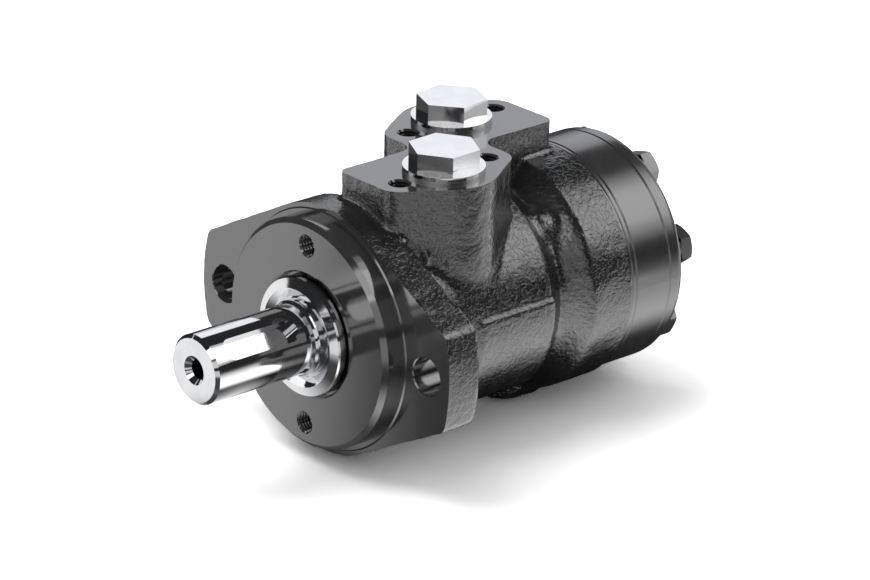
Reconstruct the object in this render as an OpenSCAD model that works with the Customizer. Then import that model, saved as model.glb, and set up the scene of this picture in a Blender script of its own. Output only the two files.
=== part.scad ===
// Orbital hydraulic motor with a two-hole oval flange and a keyed parallel shaft.
// The shaft axis is Y, the shaft points to -Y, and the port face looks up along +Z.
// The origin is on the shaft axis, in the mounting face of the flange.
// A station is a distance along Y, and a turned profile lists [radius, station] points.

/* [Mounting flange] */
// Diameter of the pilot that centres the motor
pilot_d = 82.5; // [80:0.5:86]
// Height of the pilot over the mounting face
pilot_h = 8; // [6:0.5:9]
// Diameter of the flange's round part
flange_d = 90; // [88:0.5:94]
// Thickness of the flange
flange_t = 14; // [12:0.5:16]
// Distance between the two mounting holes
ear_pitch = 106.4; // [104:0.2:110]
// Diameter of the mounting holes
ear_hole_d = 13.5; // [11:0.5:14]
// Metal between a mounting hole's centre and the end of its ear
ear_margin = 11.6; // [10.5:0.1:13]
// Radius of the ears' corners
ear_corner_r = 5; // [3:0.5:6]
// Distance between the two tapped holes in the pilot's face
face_hole_pitch = 65.6; // [62:0.4:68]

/* [Body] */
// Metal between the port block's rear end and the body's rear face
rear_land = 4.95; // [4:0.05:8]
// Diameter of the cast barrel
barrel_d = 79.6; // [78:0.4:84]
// Diameter of the waist in front of the rear rim
waist_d = 72; // [70:0.4:72.8]
// Diameter of the cast rear rim
rim_d = 87.2; // [87:0.2:92]
// Diameter of the bore that the spool turns in
spool_bore_d = 39.1; // [38.5:0.1:39.6]

/* [Port block] */
// Height of the port face over the shaft axis
port_face_z = 54.7; // [52:0.5:60]
// Station of the middle of the port block
block_mid = 55.8; // [55:0.2:57]
// Sideways distance of a port from the shaft axis
port_x = 17.6; // [17:0.2:18.4]
// Distance of a port from the middle of the block, along the shaft
port_dy = 17.55; // [17:0.05:18.4]
// Diameter of the round column under each port
column_d = 38; // [36:0.5:40]
// Diameter of the port threads
port_d = 21; // [19:0.5:22]
// Depth of the port threads
port_depth = 15; // [14:0.5:17]
// Distance between the two bolt holes beside one port
bolt_pitch = 40.2; // [39.4:0.2:41]
// Radius of the metal round a bolt hole of the port face
bolt_land_r = 8.4; // [7.5:0.1:9]

/* [Shaft] */
// Diameter of the shaft's parallel end
shaft_d = 25; // [22:0.5:25.5]
// Distance from the mounting face to the end of the shaft
shaft_reach = 57.3; // [55:0.5:60]
// Diameter of the journal that the seals run on
journal_d = 27; // [26.6:0.1:27.4]
// Width of the keyway
key_w = 8; // [6:0.5:8]
// Length of the keyway
key_l = 32; // [25:1:34]
// Depth of the keyway
key_depth = 4; // [3:0.25:4.5]
// Angle of the keyway round the shaft
key_angle = 43; // [0:1:90]

/* [Gear set] */
// Outer diameter of the gear ring
ring_d = 85; // [84.6:0.2:86]
// Width of the gear ring
ring_w = 16.4; // [8:0.2:20]
// Thickness of the plate between the body and the gear ring
plate_t = 2.2; // [2:0.1:4]
// Thickness of the end cover
cover_t = 7; // [6:0.5:9]
// Distance that the rotor's centre stays off the shaft axis
eccentricity = 2.6; // [2.4:0.05:2.7]
// Radius of the circle that the ring's teeth are centred on
tooth_circle_r = 28.5; // [28.3:0.05:28.8]
// Radius of one tooth of the ring
tooth_r = 7; // [6.8:0.05:7.2]
// Radius of the circle of the end cover's screws
screw_circle_r = 34; // [33.8:0.1:34.2]

/* [Port plugs] */
// Width across the flats of a port plug
plug_af = 22; // [19:0.5:24]
// Height of a port plug's hexagon
plug_hex_h = 6.7; // [5:0.1:9]
// Diameter of a port plug's collar
plug_collar_d = 28.7; // [27:0.1:30]

/* [Hidden] */
$fn = 96;

// Shared clearances and small sizes
overcut = 1;          // how far a cutter runs past the face that it opens
overlap = 0.5;        // how far a form runs into the one that it is joined with
hair = 0.01;          // keeps a cone's rim clear of the face that it opens on
run_gap = 0.05;       // radial gap of a running fit
end_gap = 0.03;       // gap at each side face of the rotor
loose_gap = 0.4;      // gap round what only has to pass through
thread_gap = 0.02;    // gap between a screw and its thread
washer_gap = 0.2;     // gap between a washer or ring and what it sits round or in
thread_chamfer = 0.7; // chamfer at the mouth of a tapped hole
arc_step = 7.5;       // degrees from one point of an outline's arc to the next
fillet_step = 15;     // the same for a turned fillet
hex_half = 30;        // half the angle that one side of a hexagon spans
m8_tap_r = 3.4;
m8_r = 4;
m8_clear_r = 4.25;

// Body
body_l = block_mid + port_dy + bolt_pitch / 2 + bolt_land_r + rear_land;
pilot_r = pilot_d / 2;
pilot_chamfer = 1.7;
flange_r = flange_d / 2;
ear_x = ear_pitch / 2;
ear_r = ear_x + ear_margin;
ear_half_angle = 13.5;
face_hole_depth = 12;
barrel_r = barrel_d / 2;
waist_r = waist_d / 2;
rim_r = rim_d / 2;
rim_front = body_l - 18;        // station where the rear rim is fully grown
rim_machined = 1.6;             // width of the turned land behind the cast rim
rim_step = 1;                   // stretch over which the rim steps down to that land
rim_points = 8;                 // points along the rim's rise
waist_points = 6;               // points along the waist's fall
waist_front = rim_front - 12.5; // the waist's narrowest stretch
waist_rear = rim_front - 8;
barrel_end = waist_front - 6.5;
root_fillet = 4;                // fillet between the flange and the barrel
block_foot_z = 3;               // the port block starts inside the barrel
lobe_inner_x = 4.8;             // the lobes overlap by this much on each side of the middle
lobe_corner_r = 3.5;
notch_r = 6.5;                  // fillet of the notch between the two lobes
pad_h = 1.3;                    // height of the pad on the barrel's side
pad_front = 37;
pad_rear = 72;
pad_front_slope = 1.5;
pad_rear_slope = 2;
pad_top_angle = 8;
pad_low_angle = -46;
spool_bore_r = spool_bore_d / 2;

// Front seals and thrust bearing, from the pilot's face backwards
cap_recess_r = 22.3;
cap_recess_depth = 2.8;
cap_rear = -pilot_h + 2.1;
cap_gap = 1;
cap_reach = 4.2;                // how far the cap stands out of the pilot's face
cap_neck = 3.6;
cap_lip = 3.7;
cap_bead = 0.4;
cap_dish = 0.3;                 // how far the cap's inner edge stands before its neck
cap_crest_drop = 0.25;
cap_shoulder = 1.1;
cap_roll = 1.7;
cap_wall = 1.6;
seal_r = 19;
dust_seal_s = -pilot_h + cap_recess_depth;
dust_seal_t = 3.4;
seal_room = 1.2;                // room round the journal beside a seal's lip
lip_w = 0.5;
lip_lead = 0.4;
shaft_seal_s = dust_seal_s + dust_seal_t + 0.2;
shaft_seal_t = 7;
seal_shell_t = 1.3;
seal_floor_t = 1.8;
seal_leg_t = 1.5;
backup_s = shaft_seal_s + shaft_seal_t;
backup_t = 2;
web_s = backup_s + backup_t;
web_t = 4.6;
thrust_s = web_s + web_t;
washer_t = 1;
thrust_bore_gap = 0.5;
needle_r = 0.98;
needle_room = 2;
needle_count = 24;
needle_in = 14.9;
needle_out = 18.5;
needle_sides = 24;
cage_t = 1.3;
spool_s = thrust_s + 2 * washer_t + needle_room;

// Shaft
shaft_r = shaft_d / 2;
journal_r = journal_d / 2;
shaft_chamfer = 1.2;
journal_s = -pilot_h - 4.8;
journal_rise_w = 1.2;           // the rounded step from the shaft up to the journal
journal_rise_share = 0.6;
spool_chamfer = 0.5;
spool_r = spool_bore_r - run_gap;
spool_end = body_l - 2;
key_front = -shaft_reach + 5.8;
end_hole_depth = 20;
end_sink_r = 5.2;
cardan_bore_r = 12.6;
groove_depth = 1.8;
groove_w = 8;
slot_w = 3.6;
slot_end = body_l - 10;
slots_per_port = 6;
spline_relief = 2;              // what the shaft's spline bore is longer than its spline

// Cardan shaft and its splines
spline_teeth = 12;
spline_gap = 0.24;
spline_play = 0.1;
spline_root_r = 9;
spline_tip_r = 11.1;
spline_tooth_w = 2.3;
spline_head_w = 10;
spline_crown = 0.9;             // what a crowned head loses at its ends
crown_steps = 5;
cardan_front = spool_s + 19;
cardan_rear = body_l + plate_t + ring_w / 2;
cardan_tilt = atan(eccentricity / (cardan_rear - cardan_front));
cardan_neck_r = 7.6;
cardan_root_r = 8.4;
cardan_tip_r = 7.5;
cardan_tip_chamfer = 1.5;
cardan_taper_from = 6;          // from the middle of a spline
cardan_taper_to = 12;
cardan_end = 6;                 // from the middle of a spline to the shaft's end
shaft_spline_s = cardan_front - 9;
shaft_spline_l = 18;

// Gear set
rotor_lobes = 6;
ring_teeth = rotor_lobes + 1;
first_tooth = 270;
plate_s = body_l;
ring_s = plate_s + plate_t;
cover_s = ring_s + ring_w;
cover_rear = cover_s + cover_t;
ring_r = ring_d / 2;
mesh_gap = 0.05;
pocket_r = tooth_circle_r - tooth_r + 2 * eccentricity + 0.4;
rotor_steps = 240;
rotor_crowd = 0.7;              // crowds the outline's points into the hollows between the lobes
channel_circle_r = 24.2;
channel_r = 2.4;
channel_depth = 16;
spacer_t = 1.9;
spacer_r = 8.6;
cover_round = 3;
seam_chamfer = 0.5;

// Screws, seals and plugs
screw_head_h = 5.3;
screw_af = 13;
screw_turn_step = 17;           // each screw head stands turned by this much more than the last
head_land = 0.96;               // share of the width across flats that the top keeps flat
head_slope = 30;
screw_washer_t = 1;
screw_washer_r = 6.5;
screw_depth = 13;
screw_hole_spare = 1;           // what a screw's hole goes deeper than the screw
o_ring_r = 0.93;
o_ring_groove = 1.9;
o_ring_groove_w = 2.3;
o_ring_circle_r = screw_circle_r + m8_clear_r + 1.55;
port_r = port_d / 2;
port_drill_r = 6;
bolt_hole_depth = 14;
gallery_depth = 3;
plug_seal_t = 1;
plug_collar_t = 1.3;
plug_thread_l = port_depth - 3;
plug_collar_r = plug_collar_d / 2;
drain_y = rim_front - 3.8;
drain_face_z = -41.6;
drain_boss_r = 13;
drain_boss_share = 0.8;         // the boss ends inside the body's wall
drain_r = 6.6;
drain_depth = 12;
drain_thread_l = 10;
drain_drill_r = 3;
drain_spot_r = 10.6;            // spot face that lets the plug sit flat beside the cast rim
drain_seal_t = 1.2;
drain_seal_r = 9.4;
drain_collar_t = 2.7;
drain_collar_r = 9;
drain_socket_af = 6;
drain_socket_depth = 5;
front_plug_turn = 32;
rear_plug_turn = 38;

// Check valves: one ball on each side, in the web between two channels
ball_r = 3;
ball_bore_r = ball_r + run_gap;
ball_bore_depth = 8.3;
ball_seat_r = 1.8;
ball_teeth_on = 2;              // teeth from the lowest one to a ball
ball_angles = [for (side = [-1, 1]) first_tooth + side * ball_teeth_on * 360 / ring_teeth];
ball_lift = sqrt(ball_r * ball_r - ball_seat_r * ball_seat_r) + run_gap;

// Turns a profile of [radius, station] points round the shaft axis
module turned(points) {
    rotate([-90, 0, 0]) rotate_extrude() polygon(points);
}

// Extrudes a flat outline of [x, z] points along the shaft axis, from one station
module along_shaft(station, length) {
    translate([0, station + length, 0]) rotate([90, 0, 0]) linear_extrude(length) children();
}

// A round hole or peg along the shaft axis
module peg(x, z, station, length, r) {
    translate([x, station, z]) rotate([-90, 0, 0]) cylinder(r = r, h = length);
}

// Copies its children to the angles of the ring's teeth, or half a pitch on for its pockets
module round_teeth(shift = 0) {
    for (i = [0 : ring_teeth - 1])
        rotate([0, -(first_tooth + (i + shift) * 360 / ring_teeth), 0]) children();
}

// The flat band between two circles that share its two outer tangents
module belt(a, ra, b, rb) {
    gap = norm(b - a);
    heading = atan2(b[1] - a[1], b[0] - a[0]);
    swing = acos((ra - rb) / gap);
    left = [cos(heading + swing), sin(heading + swing)];
    right = [cos(heading - swing), sin(heading - swing)];
    polygon([a + ra * left, a + ra * right, b + rb * right, b + rb * left]);
}

// A smooth step from one radius to another between two stations
function eased(r0, r1, s0, s1, n) =
    [for (i = [0 : n]) let (u = i / n) [r0 + (r1 - r0) * (1 - cos(180 * u)) / 2, s0 + (s1 - s0) * u]];

// A tapped hole with its chamfer, cut downwards into a face that looks along +Z
module tapped_hole(r, depth) {
    translate([0, 0, -depth]) cylinder(r = r, h = depth + overcut);
    translate([0, 0, -thread_chamfer])
        cylinder(r1 = r, r2 = r + thread_chamfer + overcut, h = thread_chamfer + overcut);
}

// Flange outline: a round part with an ear at each side, whose ends are round about the shaft
module flange_outline() {
    corner_at = ear_r - ear_corner_r;
    circle(r = flange_r);
    for (side = [0, 180]) rotate(side) {
        for (turn = [-ear_half_angle, ear_half_angle]) {
            corner = corner_at * [cos(turn), sin(turn)];
            belt([0, 0], flange_r, corner, ear_corner_r);
            translate(corner) circle(r = ear_corner_r);
        }
        intersection() {
            circle(r = ear_r);
            polygon([[0, 0], 2 * ear_r * [cos(ear_half_angle), -sin(ear_half_angle)],
                     2 * ear_r * [cos(ear_half_angle), sin(ear_half_angle)]]);
        }
    }
}

// Points along an arc about c, from angle a0 to angle a1
function arc(c, r, a0, a1) =
    let (n = ceil(abs(a1 - a0) / arc_step))
    [for (i = [0 : n]) let (a = a0 + (a1 - a0) * i / n) c + r * [cos(a), sin(a)]];

// One lobe's share of the port block outline, with the block's middle at [0, 0]
function lobe_points() =
    let (port = [port_x, -port_dy],
         bolt = [0, bolt_pitch / 2],
         low_y = -port_dy - bolt_pitch / 2 - bolt_land_r,
         high_y = -port_dy + bolt_pitch / 2 + bolt_land_r,
         flank = 90 - acos((column_d / 2 - bolt_land_r) * 2 / bolt_pitch))
    concat(arc([lobe_corner_r - lobe_inner_x, low_y + lobe_corner_r], lobe_corner_r, 180, 270),
           arc(port - bolt, bolt_land_r, 270, 360 - flank),
           arc(port, column_d / 2, -flank, flank),
           arc(port + bolt, bolt_land_r, flank, 90),
           arc([lobe_inner_x + notch_r, high_y + notch_r], notch_r, 270, 180));

// The port block: two lobes, one the half turn of the other
module port_block() {
    half = lobe_points();
    translate([0, block_mid, block_foot_z]) linear_extrude(port_face_z - block_foot_z)
        polygon(concat(half, -half));
}

// Cast outside of the body: barrel, waist and rear rim in one turned form
module barrel() {
    fillet = [for (a = [0 : fillet_step : 90])
        [barrel_r + root_fillet * (1 - sin(a)), flange_t + root_fillet * (1 - cos(a))]];
    turned(concat([[0, 2 * overlap], [barrel_r + root_fillet, 2 * overlap]], fillet,
        eased(barrel_r, waist_r, barrel_end, waist_front, waist_points),
        eased(waist_r, rim_r, waist_rear, rim_front, rim_points),
        [[rim_r, body_l - rim_machined - rim_step], [ring_r, body_l - rim_machined],
         [ring_r, body_l - seam_chamfer], [ring_r - seam_chamfer, body_l], [0, body_l]]));
}

// Raised pad on the side of the barrel
module side_pad() {
    pad_mid_angle = (pad_top_angle + pad_low_angle) / 2;
    intersection() {
        turned([[0, pad_front], [barrel_r + pad_h, pad_front + pad_front_slope],
                [barrel_r + pad_h, pad_rear - pad_rear_slope], [0, pad_rear]]);
        along_shaft(pad_front - overcut, pad_rear - pad_front + 2 * overcut)
            polygon(concat([[0, 0]], [for (a = [pad_top_angle, pad_mid_angle, pad_low_angle])
                2 * barrel_r * [cos(a), sin(a)]]));
    }
}

// Boss that the drain port is cut in
module drain_boss() {
    translate([0, drain_y, drain_face_z])
        cylinder(r = drain_boss_r, h = (-drain_face_z - spool_bore_r) * drain_boss_share);
}

module housing_cuts() {
    // seal recess, web, spool bore and the two port galleries, from the front
    turned([[0, -pilot_h - overcut], [cap_recess_r, -pilot_h - overcut], [cap_recess_r, dust_seal_s],
            [seal_r, dust_seal_s], [seal_r, web_s], [journal_r + loose_gap, web_s],
            [journal_r + loose_gap, thrust_s], [spool_bore_r, thrust_s], [spool_bore_r, body_l + overcut],
            [0, body_l + overcut]]);
    for (side = [-1, 1]) {
        gallery = block_mid - side * port_dy;
        turned([[0, gallery - groove_w / 2], [spool_bore_r + gallery_depth, gallery - groove_w / 2],
                [spool_bore_r + gallery_depth, gallery + groove_w / 2], [0, gallery + groove_w / 2]]);
        // port thread, passage down to the gallery, and the two bolt holes beside the port
        translate([side * port_x, gallery, port_face_z]) {
            tapped_hole(port_r, port_depth);
            translate([0, 0, -port_face_z + overcut])
                cylinder(r = port_drill_r, h = port_face_z - port_depth);
            for (along = [-1, 1])
                translate([0, along * bolt_pitch / 2, 0]) tapped_hole(m8_tap_r, bolt_hole_depth);
        }
        peg(side * ear_x, 0, -overcut, flange_t + 2 * overcut, ear_hole_d / 2);
        translate([0, -pilot_h, side * face_hole_pitch / 2]) rotate([90, 0, 0])
            tapped_hole(m8_tap_r, face_hole_depth);
    }
    // channels to the gear pockets, each with its window into the spool bore
    round_teeth(0.5) {
        peg(channel_circle_r, 0, body_l - channel_depth, channel_depth + overcut, channel_r);
        translate([0, body_l - channel_depth + channel_r, 0]) rotate([0, 90, 0])
            cylinder(r = channel_r, h = channel_circle_r);
    }
    screw_hole_l = screw_depth + screw_hole_spare;
    round_teeth() peg(screw_circle_r, 0, body_l - screw_hole_l, screw_hole_l + overcut, m8_r);
    for (a = ball_angles) rotate([0, -a, 0]) {
        peg(channel_circle_r, 0, body_l - ball_bore_depth, ball_bore_depth + overcut, ball_bore_r);
        peg(channel_circle_r, 0, body_l - channel_depth, channel_depth, ball_seat_r);
    }
    translate([0, drain_y, drain_face_z]) mirror([0, 0, 1]) {
        tapped_hole(drain_r, drain_depth);
        cylinder(r = drain_spot_r, h = rim_r);
    }
    translate([0, drain_y, drain_face_z]) cylinder(r = drain_drill_r, h = -drain_face_z);
    o_ring_groove_at(body_l, -1);
}

// Groove for an O-ring, cut forwards or backwards from a face
module o_ring_groove_at(station, way) {
    r = o_ring_circle_r;
    half = o_ring_groove_w / 2;
    depth = way * o_ring_groove;
    turned([[r - half, station - way * overcut], [r + half, station - way * overcut],
            [r + half, station + depth], [r - half, station + depth]]);
}

module o_ring_at(station, way) {
    color([0.08, 0.08, 0.08]) translate([0, station + way * o_ring_groove / 2, 0])
        rotate([-90, 0, 0]) rotate_extrude() translate([o_ring_circle_r, 0]) circle(r = o_ring_r);
}

module housing() {
    color([0.2, 0.2, 0.22]) difference() {
        union() {
            barrel();
            along_shaft(0, flange_t) flange_outline();
            turned([[0, -pilot_h], [pilot_r - pilot_chamfer, -pilot_h],
                    [pilot_r, -pilot_h + pilot_chamfer], [pilot_r, overlap], [0, overlap]]);
            port_block();
            side_pad();
            drain_boss();
        }
        housing_cuts();
    }
}

// Keyway of an end mill: a round-ended slot of even depth along the shaft
module keyway() {
    rotate([0, -key_angle, 0]) translate([shaft_r - key_depth, 0, 0]) rotate([0, 90, 0])
        linear_extrude(key_depth + overcut) {
            for (s = [key_front + key_w / 2, key_front + key_l - key_w / 2])
                translate([0, s]) circle(d = key_w);
            translate([-key_w / 2, key_front + key_w / 2]) square([key_w, key_l - key_w]);
        }
}

// Bars that stand inwards from a bore and make its spline
module inner_spline(depth_r) {
    pitch = 2 * PI * (spline_root_r + spline_gap) / spline_teeth;
    bar_w = pitch - spline_tooth_w - 2 * spline_gap - spline_play;
    difference() {
        circle(r = depth_r);
        difference() {
            circle(r = spline_tip_r + spline_gap);
            for (i = [0 : spline_teeth - 1]) rotate((i + 0.5) * 360 / spline_teeth)
                translate([spline_root_r + spline_gap, -bar_w / 2]) square([spline_tip_r, bar_w]);
        }
    }
}

module output_shaft() {
    front_groove = block_mid - port_dy;
    rear_groove = block_mid + port_dy;
    half = groove_w / 2;
    low_r = spool_r - groove_depth;
    color([0.85, 0.86, 0.88]) {
        difference() {
            rotate([0, -key_angle, 0]) turned([[0, -shaft_reach], [shaft_r - shaft_chamfer, -shaft_reach],
                [shaft_r, -shaft_reach + shaft_chamfer], [shaft_r, journal_s - journal_rise_w],
                [shaft_r + (journal_r - shaft_r) * journal_rise_share, journal_s - journal_rise_w / 3],
                [journal_r, journal_s], [journal_r, spool_s],
                [spool_r - spool_chamfer, spool_s], [spool_r, spool_s + spool_chamfer],
                [spool_r, front_groove - half], [low_r, front_groove - half],
                [low_r, front_groove + half], [spool_r, front_groove + half],
                [spool_r, rear_groove - half], [low_r, rear_groove - half],
                [low_r, rear_groove + half], [spool_r, rear_groove + half],
                [spool_r, spool_end - spool_chamfer], [spool_r - spool_chamfer, spool_end], [0, spool_end]]);
            keyway();
            translate([0, -shaft_reach, 0]) rotate([90, 0, 0]) {
                tapped_hole(m8_tap_r, end_hole_depth);
                translate([0, 0, -(end_sink_r - m8_tap_r)])
                    cylinder(r1 = m8_tap_r, r2 = end_sink_r, h = end_sink_r - m8_tap_r + hair);
            }
            // room for the cardan shaft, and the bore that its spline slides into
            peg(0, 0, shaft_spline_s + shaft_spline_l, spool_end, cardan_bore_r);
            peg(0, 0, shaft_spline_s - spline_relief, shaft_spline_l + 2 * spline_relief,
                spline_tip_r + spline_gap);
            // commutation slots, by turns fed by the front and by the rear groove
            for (i = [0 : 2 * slots_per_port - 1]) {
                from = i % 2 == 0 ? front_groove : rear_groove;
                rotate([0, -i * 180 / slots_per_port, 0])
                    translate([low_r, from, -slot_w / 2])
                        cube([groove_depth + overcut, slot_end - from, slot_w]);
            }
        }
        along_shaft(shaft_spline_s, shaft_spline_l) inner_spline(cardan_bore_r + 2 * overlap);
    }
}

// Pressed cap: a dished face between a neck on the journal and a rolled rim
module dust_cap() {
    outer_r = cap_recess_r - cap_gap;
    front = -pilot_h - cap_reach;
    color([0.9, 0.9, 0.92]) turned([[journal_r, cap_rear - cap_bead], [journal_r, cap_rear - cap_neck],
        [journal_r + 2 * cap_bead, cap_rear - cap_neck - cap_dish],
        [outer_r - cap_lip - cap_bead, front + cap_crest_drop], [outer_r - cap_lip, front],
        [outer_r - cap_bead, front + cap_shoulder], [outer_r, front + cap_roll],
        [outer_r, cap_rear - cap_bead], [outer_r - cap_bead, cap_rear],
        [outer_r - cap_wall, cap_rear], [outer_r - cap_wall, cap_rear - cap_bead]]);
}

module dust_seal() {
    lip = journal_r + run_gap;
    bore = journal_r + seal_room;
    front = dust_seal_s;
    color([0.1, 0.1, 0.1]) turned([[seal_r, front], [seal_r, front + dust_seal_t],
        [bore, front + dust_seal_t], [bore, front + lip_lead + 2 * lip_w],
        [lip, front + lip_lead + lip_w], [lip, front + lip_lead], [bore, front]]);
}

// Lip seal: a channel section whose inner leg leans onto the journal
module shaft_seal() {
    s0 = shaft_seal_s;
    s1 = s0 + shaft_seal_t;
    lip = journal_r + run_gap;
    edge = s1 - 2 * lip_w;
    color([0.25, 0.12, 0.07]) turned([[seal_r, s0], [seal_r, s1], [seal_r - seal_shell_t, s1],
        [seal_r - seal_shell_t, s0 + seal_floor_t], [lip + seal_leg_t, s0 + seal_floor_t],
        [lip + seal_leg_t, edge], [lip, edge - lip_lead], [lip, edge - lip_lead - lip_w],
        [lip + lip_lead, s0]]);
}

module seal_backup_ring() {
    ring_of([0.6, 0.6, 0.62], journal_r + washer_gap, seal_r, backup_s, backup_t);
}

module ring_of(tone, r0, r1, station, width) {
    color(tone) turned([[r0, station], [r1, station], [r1, station + width], [r0, station + width]]);
}

module thrust_washer_front() {
    ring_of([0.7, 0.7, 0.72], journal_r + thrust_bore_gap, spool_bore_r - washer_gap, thrust_s, washer_t);
}

module thrust_washer_rear() {
    ring_of([0.7, 0.7, 0.72], journal_r + thrust_bore_gap, spool_bore_r - washer_gap,
            spool_s - washer_t, washer_t);
}

// Copies its children round the needle bearing
module round_needles() {
    for (i = [0 : needle_count - 1]) rotate([0, i * 360 / needle_count, 0]) children();
}

module thrust_cage() {
    middle = thrust_s + washer_t + needle_room / 2;
    color([0.72, 0.6, 0.35]) difference() {
        ring_of([0.72, 0.6, 0.35], journal_r + thrust_bore_gap, spool_bore_r - washer_gap,
                middle - cage_t / 2, cage_t);
        round_needles() translate([needle_in - run_gap, middle - cage_t, -needle_r - run_gap])
            cube([needle_out - needle_in + 2 * run_gap, 2 * cage_t, 2 * (needle_r + run_gap)]);
    }
}

module thrust_needles() {
    middle = thrust_s + washer_t + needle_room / 2;
    color([0.85, 0.85, 0.87]) round_needles() translate([needle_in, middle, 0]) rotate([0, 90, 0])
        cylinder(r = needle_r, h = needle_out - needle_in, $fn = needle_sides);
}

// One crowned spline head of the cardan shaft, centred on its own pivot
module spline_head() {
    half = spline_head_w / 2;
    crown = [for (i = [0 : crown_steps]) let (u = 2 * i / crown_steps - 1)
        [spline_tip_r - spline_crown * u * u, half * u]];
    intersection() {
        along_shaft(-half, spline_head_w) {
            circle(r = spline_root_r);
            for (i = [0 : spline_teeth - 1]) rotate(i * 360 / spline_teeth)
                translate([0, -spline_tooth_w / 2]) square([spline_tip_r, spline_tooth_w]);
        }
        turned(concat([[0, -half]], crown, [[0, half]]));
    }
}

module cardan_shaft() {
    span = (cardan_rear - cardan_front) / cos(cardan_tilt);
    color([0.5, 0.5, 0.52]) translate([0, cardan_front, 0]) rotate([cardan_tilt, 0, 0]) {
        spline_head();
        translate([0, span, 0]) spline_head();
        turned([[0, -cardan_end], [cardan_tip_r - cardan_tip_chamfer, -cardan_end],
                [cardan_tip_r, cardan_tip_chamfer - cardan_end], [cardan_root_r, 0],
                [cardan_root_r, cardan_taper_from], [cardan_neck_r, cardan_taper_to],
                [cardan_neck_r, span - cardan_taper_to], [cardan_root_r, span - cardan_taper_from],
                [cardan_root_r, span], [cardan_tip_r, span + cardan_end - cardan_tip_chamfer],
                [cardan_tip_r - cardan_tip_chamfer, span + cardan_end], [0, span + cardan_end]]);
    }
}

module screw_holes(station, width) {
    round_teeth() peg(screw_circle_r, 0, station - overcut, width + 2 * overcut, m8_clear_r);
}

module spacer_plate() {
    color([0.62, 0.63, 0.65]) difference() {
        turned([[cardan_bore_r, plate_s], [ring_r - seam_chamfer, plate_s], [ring_r, plate_s + seam_chamfer],
                [ring_r, ring_s - seam_chamfer], [ring_r - seam_chamfer, ring_s], [cardan_bore_r, ring_s]]);
        screw_holes(plate_s, plate_t);
        round_teeth(0.5) peg(channel_circle_r, 0, plate_s - overcut, plate_t + 2 * overcut, channel_r);
    }
}

// Ring gear: its teeth are round, and stand into the round pocket that the rotor orbits in
module gear_ring() {
    color([0.3, 0.3, 0.32]) difference() {
        turned([[0, ring_s], [ring_r - seam_chamfer, ring_s], [ring_r, ring_s + seam_chamfer],
                [ring_r, cover_s - seam_chamfer], [ring_r - seam_chamfer, cover_s], [0, cover_s]]);
        along_shaft(ring_s - overcut, ring_w + 2 * overcut) difference() {
            circle(r = pocket_r);
            for (i = [0 : ring_teeth - 1]) rotate(first_tooth + i * 360 / ring_teeth)
                translate([tooth_circle_r, 0]) circle(r = tooth_r);
        }
        screw_holes(ring_s, ring_w);
        o_ring_groove_at(ring_s, 1);
    }
}

// Rotor outline: the path of a ring tooth's centre seen from the rotor, moved inwards by the
// tooth's radius along its own normal
function rotor_point(t) =
    let (orbit = ring_teeth * t,
         along = [-tooth_circle_r * sin(t) + ring_teeth * eccentricity * sin(orbit),
                  tooth_circle_r * cos(t) - ring_teeth * eccentricity * cos(orbit)])
    [tooth_circle_r * cos(t) - eccentricity * cos(orbit),
     tooth_circle_r * sin(t) - eccentricity * sin(orbit)]
    + (tooth_r + mesh_gap) * [-along[1], along[0]] / norm(along);

module rotor_outline() {
    polygon([for (i = [0 : rotor_steps - 1])
        let (u = i * 360 / rotor_steps)
        rotor_point(u - rotor_crowd * sin(rotor_lobes * u) * 180 / PI / rotor_lobes)]);
}

module rotor() {
    color([0.75, 0.75, 0.77]) translate([0, 0, eccentricity])
        along_shaft(ring_s + end_gap, ring_w - 2 * end_gap) intersection() {
            rotor_outline();
            inner_spline(tooth_circle_r);
        }
}

// Disc that keeps the cardan shaft off the end cover and orbits with the rotor
module cardan_spacer() {
    color([0.55, 0.55, 0.57]) translate([0, 0, eccentricity])
        peg(0, 0, cover_s - end_gap - spacer_t, spacer_t, spacer_r);
}

module end_cover() {
    arc = [for (a = [0 : fillet_step : 90])
        [ring_r - cover_round * (1 - cos(a)), cover_rear - cover_round * (1 - sin(a))]];
    color([0.3, 0.3, 0.32]) difference() {
        turned(concat([[0, cover_s], [ring_r - seam_chamfer, cover_s], [ring_r, cover_s + seam_chamfer]], arc,
            [[0, cover_rear]]));
        screw_holes(cover_s, cover_t);
        o_ring_groove_at(cover_s, 1);
    }
}

// Hexagon with flats the given distance apart
module hexagon(across_flats, height) {
    cylinder(d = across_flats / cos(hex_half), h = height, $fn = 6);
}

// Screw head: a hexagon whose upper corners are turned off
module screw_head(across_flats, height) {
    corner_r = across_flats / 2 / cos(hex_half);
    land_r = across_flats / 2 * head_land;
    turned_h = (corner_r - land_r) * tan(head_slope);
    intersection() {
        hexagon(across_flats, height);
        union() {
            cylinder(r = across_flats, h = height - turned_h);
            translate([0, 0, height - turned_h]) cylinder(r1 = corner_r, r2 = land_r, h = turned_h);
        }
    }
}

module end_cover_screws() {
    seat = cover_rear + screw_washer_t;
    tip = body_l - screw_depth;
    color([0.55, 0.55, 0.57]) for (i = [0 : ring_teeth - 1])
        rotate([0, -(first_tooth + i * 360 / ring_teeth), 0]) translate([screw_circle_r, 0, 0]) {
            translate([0, tip, 0]) rotate([-90, 0, 0])
                cylinder(r = m8_r - thread_gap, h = seat - tip + overlap);
            translate([0, seat, 0]) rotate([-90, 0, 0]) rotate(i * screw_turn_step)
                screw_head(screw_af, screw_head_h);
        }
}

module screw_washers() {
    color([0.5, 0.5, 0.52]) difference() {
        round_teeth() peg(screw_circle_r, 0, cover_rear, screw_washer_t, screw_washer_r);
        screw_holes(cover_rear, screw_washer_t);
    }
}

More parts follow.
